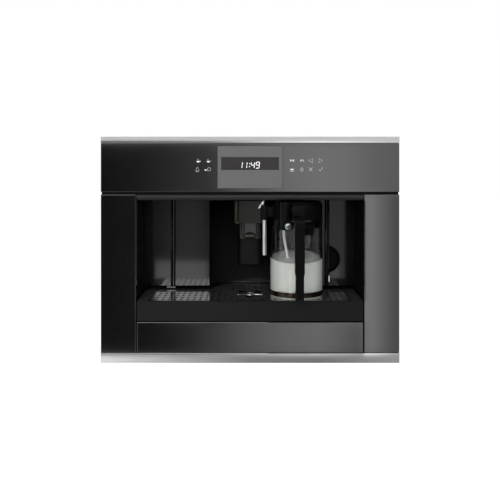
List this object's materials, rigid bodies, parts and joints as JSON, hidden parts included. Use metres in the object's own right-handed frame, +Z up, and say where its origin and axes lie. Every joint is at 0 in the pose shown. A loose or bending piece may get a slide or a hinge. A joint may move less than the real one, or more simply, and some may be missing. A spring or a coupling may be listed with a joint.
{
  "type": "built-in coffee machine",
  "caption": "Built-in bean-to-cup coffee machine: black glass front with steel trims, cup niche with service door, adjustable spout, milk jug, drip tray and telescopic rails.",
  "frame": {"origin": "centre of the bottom of the part's bounding box, on the surface that the rail brackets stand on", "axes": "+X to the viewer's right along the front, which is the longest side; -Y out of the front towards the user; +Z up"},
  "size_m": [0.595, 0.4228, 0.452],
  "materials": {
    "zinc_sheet": "satin zinc-coated sheet",
    "soft_black": "matt",
    "satin_black": "satin",
    "gloss_black": "gloss",
    "black_glass": "gloss, opaque black backing",
    "brushed_trim": "brushed",
    "display_grey": "satin",
    "display_black": "satin",
    "board_green": "matt",
    "lamp_lens": "frosted",
    "grey_plastic": "matt",
    "polished_steel": "polished",
    "float_red": "gloss",
    "jug_clear_glass": "clear",
    "clear_plastic": "clear",
    "vessel_metal": "satin",
    "hose_white": "matt"
  },
  "bodies": {
    "cabinet_rails": {"rail_bracket_left": "zinc_sheet", "rail_bracket_right": "zinc_sheet", "outer_rail_left": "zinc_sheet", "outer_rail_right": "zinc_sheet"},
    "middle_rails": {"middle_rail_left": "zinc_sheet", "middle_rail_right": "zinc_sheet"},
    "machine": {"inner_rail_right": "zinc_sheet", "side_panel_right": "zinc_sheet", "inner_rail_left": "zinc_sheet", "side_panel_left": "zinc_sheet", "base_pan": "zinc_sheet", "rear_panel": "zinc_sheet", "top_cover": "zinc_sheet", "front_frame": "soft_black", "control_glass": "black_glass", "display_plate": "display_grey", "display_window": "display_black", "column_glass_left": "black_glass", "column_glass_right": "black_glass", "lower_glass": "black_glass", "top_trim": "brushed_trim", "bottom_trim": "brushed_trim", "niche_lintel": "satin_black", "control_board": "board_green", "niche_wall_left": "satin_black", "niche_wall_right": "satin_black", "niche_ceiling": "satin_black", "niche_lamp": "lamp_lens", "inner_frame": "grey_plastic", "bean_hopper": "clear_plastic", "grinder": "grey_plastic", "brew_unit": "grey_plastic", "grounds_bin": "soft_black", "boiler": "vessel_metal", "pump": "grey_plastic", "water_hose": "hose_white", "mains_inlet": "soft_black"},
    "drip_tray": {"drip_tray": "soft_black", "drip_grille": "polished_steel"},
    "tray_float": {"tray_float": "float_red"},
    "service_door": {"service_door": "gloss_black", "door_hinge_bar": "gloss_black", "door_grip_bar": "gloss_black", "spout_column": "gloss_black", "steam_nozzle": "polished_steel"},
    "coffee_spout": {"spout_cover": "satin_black", "spout_nozzles": "gloss_black"},
    "milk_jug": {"jug_glass": "jug_clear_glass", "jug_band": "polished_steel", "jug_handle": "soft_black", "jug_lid": "gloss_black", "milk_intake_tube": "clear_plastic"},
    "froth_dial": {"froth_dial": "soft_black"},
    "clean_button": {"clean_button": "polished_steel"},
    "milk_outlet_tube": {"milk_outlet_tube": "polished_steel"},
    "bean_lid": {"bean_lid": "grey_plastic"},
    "grind_knob": {"grind_knob": "soft_black"},
    "water_tank": {"water_tank": "clear_plastic"},
    "water_tank_lid": {"water_tank_lid": "grey_plastic"},
    "power_switch": {"power_switch": "soft_black"}
  },
  "joints": [
    {"name": "machine_slide", "type": "slide", "parent": "cabinet_rails", "child": "machine", "axis": [0, -1, 0], "range_m": [0, 0.27]},
    {"name": "middle_rail_slide", "type": "slide", "parent": "cabinet_rails", "child": "middle_rails", "axis": [0, -1, 0], "range_m": [0, 0.135]},
    {"name": "tray_slide", "type": "slide", "parent": "machine", "child": "drip_tray", "axis": [0, -1, 0], "range_m": [0, 0.18]},
    {"name": "float_rise", "type": "slide", "parent": "drip_tray", "child": "tray_float", "axis": [0, 0, 1], "range_m": [0, 0.004]},
    {"name": "door_swing", "type": "hinge", "parent": "machine", "child": "service_door", "pos_m": [-0.1683, -0.03575, 0.226], "axis": [0, 0, -1], "range_deg": [0, 75]},
    {"name": "spout_height", "type": "slide", "parent": "service_door", "child": "coffee_spout", "axis": [0, 0, -1], "range_m": [0, 0.045]},
    {"name": "jug_pull", "type": "slide", "parent": "service_door", "child": "milk_jug", "axis": [0, -1, 0], "range_m": [0, 0.1]},
    {"name": "froth_dial_turn", "type": "hinge", "parent": "milk_jug", "child": "froth_dial", "pos_m": [0.091, -0.19545, 0.3058], "axis": [0, -1, 0], "range_deg": [-90, 90]},
    {"name": "clean_button_press", "type": "slide", "parent": "milk_jug", "child": "clean_button", "axis": [0, 1, 0], "range_m": [0, 0.0025], "stiffness_N_per_m": 400, "springref_m": -0.001},
    {"name": "milk_outlet_height", "type": "slide", "parent": "milk_jug", "child": "milk_outlet_tube", "axis": [0, 0, -1], "range_m": [0, 0.02]},
    {"name": "bean_lid_hinge", "type": "hinge", "parent": "machine", "child": "bean_lid", "pos_m": [-0.05, 0.16405, 0.4436], "axis": [-1, 0, 0], "range_deg": [0, 95]},
    {"name": "grind_knob_turn", "type": "hinge", "parent": "machine", "child": "grind_knob", "pos_m": [-0.022, 0.08255, 0.392], "axis": [0, 0, 1], "range_deg": [0, 270]},
    {"name": "water_tank_lift", "type": "slide", "parent": "machine", "child": "water_tank", "axis": [0, 0, 1], "range_m": [0, 0.19]},
    {"name": "water_tank_lid_hinge", "type": "hinge", "parent": "water_tank", "child": "water_tank_lid", "pos_m": [0.227, 0.17855, 0.4433], "axis": [-1, 0, 0], "range_deg": [0, 90]},
    {"name": "power_switch_rock", "type": "hinge", "parent": "machine", "child": "power_switch", "pos_m": [-0.179, 0.20255, 0.16], "axis": [1, 0, 0], "range_deg": [0, 8]}
  ],
  "couplings": [
    {"joint": "middle_rail_slide", "follows": "machine_slide", "ratio": 0.5}
  ]
}
